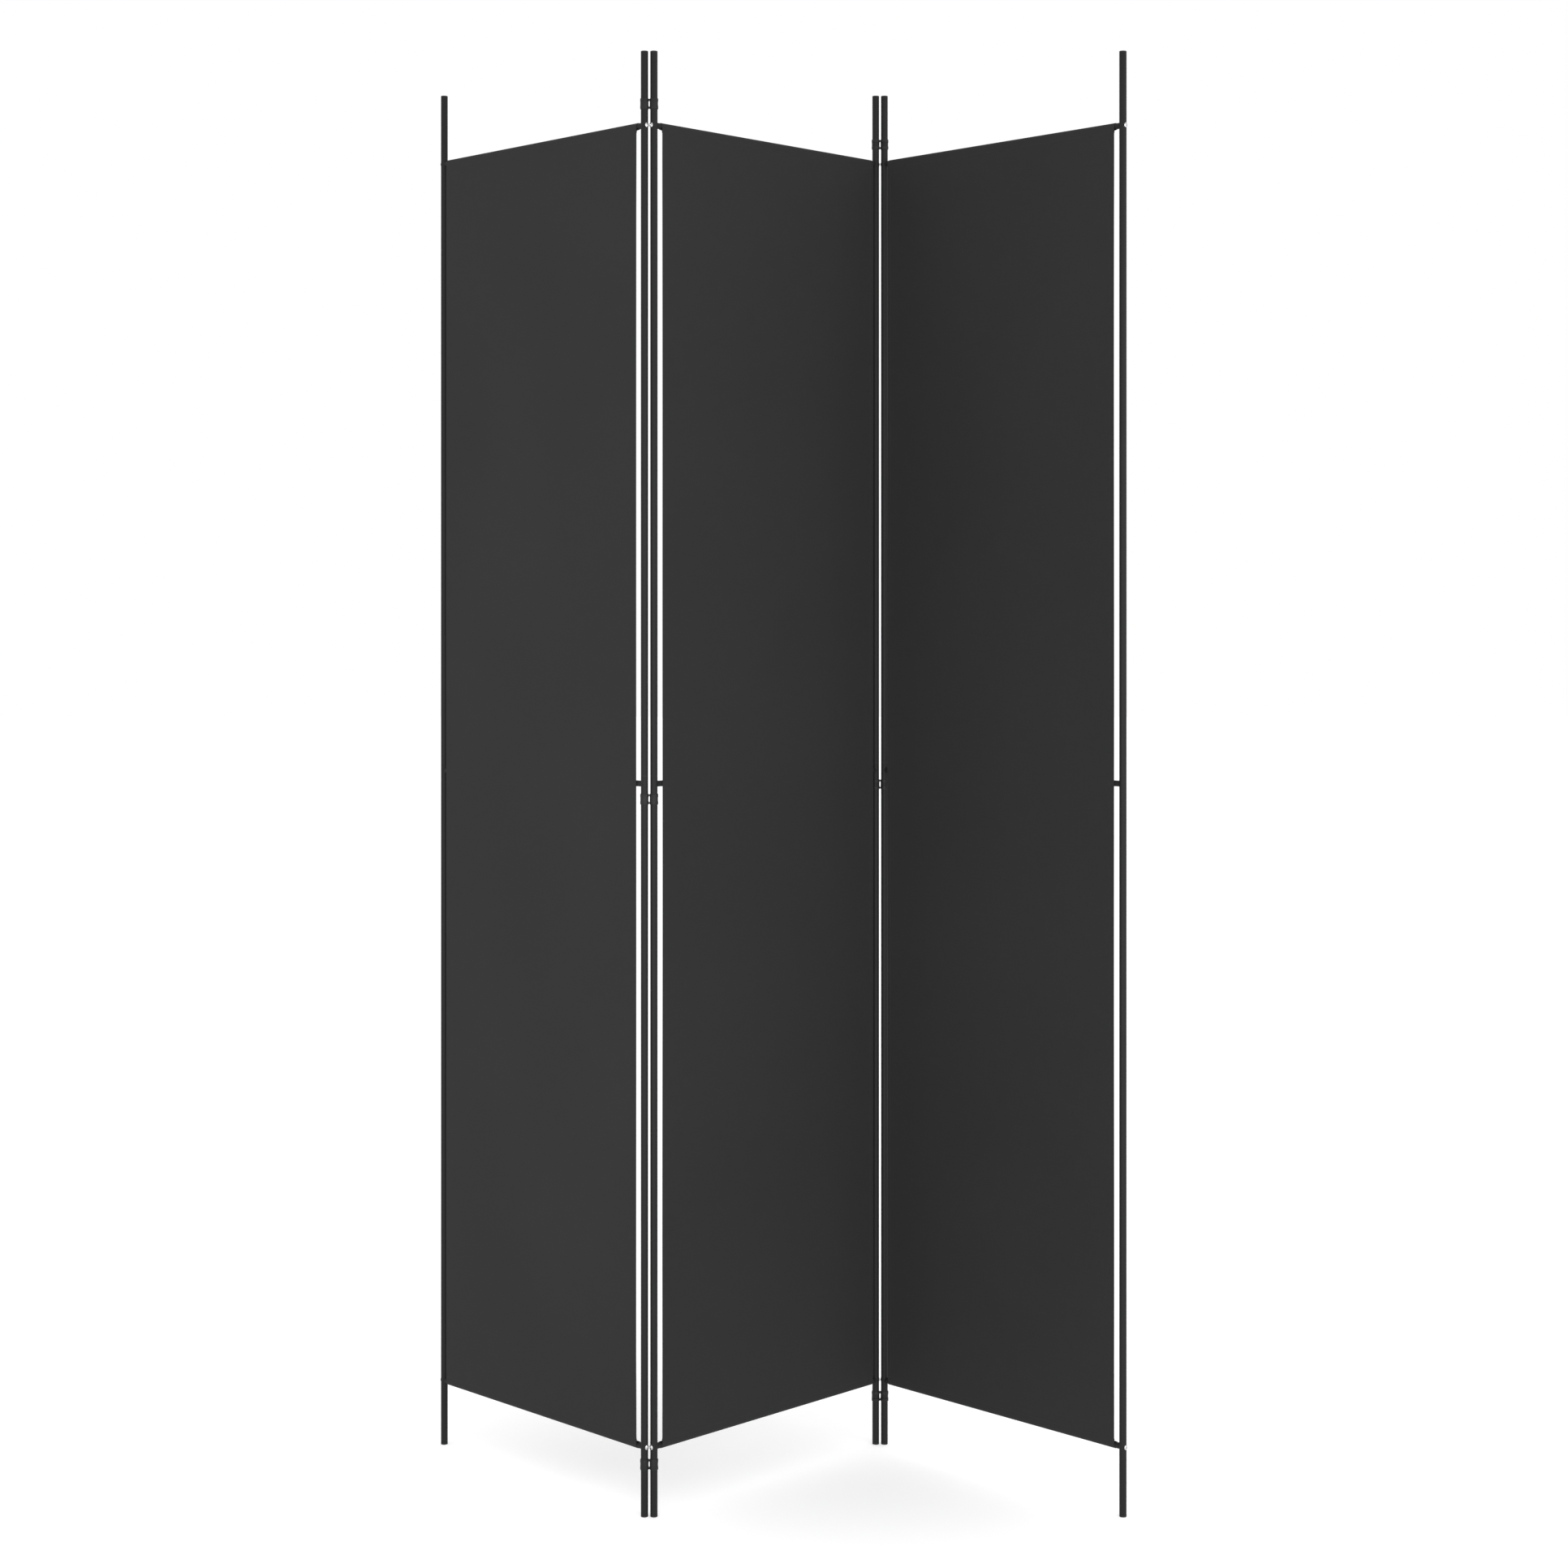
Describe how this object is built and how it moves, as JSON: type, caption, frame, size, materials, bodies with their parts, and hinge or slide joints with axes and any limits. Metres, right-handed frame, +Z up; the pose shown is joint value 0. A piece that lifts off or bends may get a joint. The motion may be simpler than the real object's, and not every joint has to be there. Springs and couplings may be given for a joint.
{
  "type": "folding room divider screen",
  "caption": "Free-standing folding screen of cloth panels in slim tube frames, linked by ring clips so that it folds flat in a zigzag.",
  "frame": {"origin": "centre of the screen's footprint on the floor, under the middle of the middle panel", "axes": "+Z up along the posts, X along the row of panels, cloth side of the panels towards -Y, shown half folded at 90 degrees"},
  "size_m": [1.0768, 0.3584, 2.2],
  "materials": {
    "frame_tube": "satin black powder coat on steel tube",
    "cloth": "plain woven black polyester, matte",
    "clip_plastic": "fine satin black",
    "cap_plastic": "fine satin black",
    "plug_plastic": "moulded, hidden in the rails",
    "screw_steel": "bright zinc plate"
  },
  "bodies": {
    "left_panel": {"left_panel_left_post_lower": "frame_tube", "left_panel_left_post_upper": "frame_tube", "left_panel_right_post_lower": "frame_tube", "left_panel_right_post_upper": "frame_tube", "left_panel_foot_caps": "cap_plastic", "left_panel_top_caps": "cap_plastic", "left_panel_top_rail": "frame_tube", "left_panel_middle_rail": "frame_tube", "left_panel_bottom_rail": "frame_tube", "left_panel_threaded_plugs": "plug_plastic", "left_panel_rail_screws": "screw_steel", "left_panel_pin_plugs": "plug_plastic", "left_panel_cloth": "cloth"},
    "middle_panel": {"middle_panel_left_post_lower": "frame_tube", "middle_panel_left_post_upper": "frame_tube", "middle_panel_right_post_lower": "frame_tube", "middle_panel_right_post_upper": "frame_tube", "middle_panel_foot_caps": "cap_plastic", "middle_panel_top_caps": "cap_plastic", "middle_panel_top_rail": "frame_tube", "middle_panel_middle_rail": "frame_tube", "middle_panel_bottom_rail": "frame_tube", "middle_panel_threaded_plugs": "plug_plastic", "middle_panel_rail_screws": "screw_steel", "middle_panel_pin_plugs": "plug_plastic", "middle_panel_cloth": "cloth"},
    "right_panel": {"right_panel_left_post_lower": "frame_tube", "right_panel_left_post_upper": "frame_tube", "right_panel_right_post_lower": "frame_tube", "right_panel_right_post_upper": "frame_tube", "right_panel_foot_caps": "cap_plastic", "right_panel_top_caps": "cap_plastic", "right_panel_top_rail": "frame_tube", "right_panel_middle_rail": "frame_tube", "right_panel_bottom_rail": "frame_tube", "right_panel_threaded_plugs": "plug_plastic", "right_panel_rail_screws": "screw_steel", "right_panel_pin_plugs": "plug_plastic", "right_panel_cloth": "cloth"},
    "left_clips": {"left_fold_top_clip": "clip_plastic", "left_fold_middle_clip": "clip_plastic", "left_fold_bottom_clip": "clip_plastic"},
    "right_clips": {"right_fold_top_clip": "clip_plastic", "right_fold_middle_clip": "clip_plastic", "right_fold_bottom_clip": "clip_plastic"}
  },
  "joints": [
    {"name": "left_clip_turn", "type": "hinge", "parent": "middle_panel", "child": "left_clips", "pos_m": [-0.1725, -0.1725, 1.1], "axis": [0, 0, 1], "range_deg": [-45, 75]},
    {"name": "left_panel_turn", "type": "hinge", "parent": "left_clips", "child": "left_panel", "pos_m": [-0.1867, -0.1725, 1.1], "axis": [0, 0, 1], "range_deg": [-45, 75]},
    {"name": "right_clip_turn", "type": "hinge", "parent": "middle_panel", "child": "right_clips", "pos_m": [0.1725, 0.1725, 1.1], "axis": [0, 0, 1], "range_deg": [-45, 75]},
    {"name": "right_panel_turn", "type": "hinge", "parent": "right_clips", "child": "right_panel", "pos_m": [0.1867, 0.1725, 1.1], "axis": [0, 0, 1], "range_deg": [-45, 75]}
  ],
  "couplings": [
    {"joint": "left_panel_turn", "follows": "left_clip_turn", "ratio": 1},
    {"joint": "right_panel_turn", "follows": "right_clip_turn", "ratio": 1}
  ]
}
